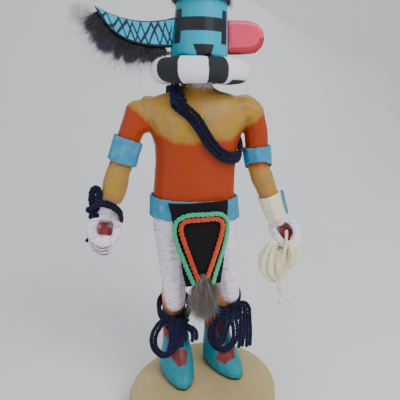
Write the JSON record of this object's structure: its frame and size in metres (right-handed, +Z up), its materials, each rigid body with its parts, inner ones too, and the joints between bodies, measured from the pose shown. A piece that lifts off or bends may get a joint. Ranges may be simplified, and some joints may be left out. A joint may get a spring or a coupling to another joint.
{
  "type": "kachina doll",
  "caption": "Carved and painted cottonwood kachina doll on a round base, with a case mask, horn, ear, ruff, apron, yarn ties and a leather pouch in one hand.",
  "frame": {"origin": "middle of the underside of the round base", "axes": "+Z up, the doll faces -Y, its right hand is at -X"},
  "size_m": [0.15, 0.1084, 0.2863],
  "materials": {
    "wood_base": "satin",
    "painted_wood": "satin",
    "ruff_cloth": "matte",
    "horn_paint": "satin",
    "fringe_fur": "matte",
    "white_down": "matte",
    "cream_roll": "matte",
    "ear_paint": "satin",
    "crown_wool": "matte",
    "blue_leather": "matte",
    "black_felt": "matte",
    "green_yarn": "matte",
    "red_yarn": "matte",
    "tail_fur": "matte",
    "navy_yarn": "matte",
    "cream_leather": "matte"
  },
  "bodies": {
    "root": {"base_disc": "wood_base", "carved_body": "painted_wood", "right_arm": "painted_wood", "left_arm": "painted_wood", "ruff": "ruff_cloth", "horn": "horn_paint", "horn_fringe": "fringe_fur", "horn_tuft": "white_down", "horn_peg": "cream_roll", "ear": "ear_paint", "crown_wool": "crown_wool", "right_armband": "blue_leather", "left_armband": "blue_leather", "belt": "blue_leather", "apron": "black_felt", "apron_green_yarn": "green_yarn", "apron_red_yarn": "red_yarn", "fur_tail": "tail_fur", "bandolier": "navy_yarn", "wrist_yarn": "navy_yarn", "wrist_cuff": "cream_leather", "cuff_strip": "blue_leather", "pouch": "cream_leather", "pouch_drawstring": "cream_leather", "right_leg_tie": "navy_yarn", "left_leg_tie": "navy_yarn"}
  },
  "joints": []
}
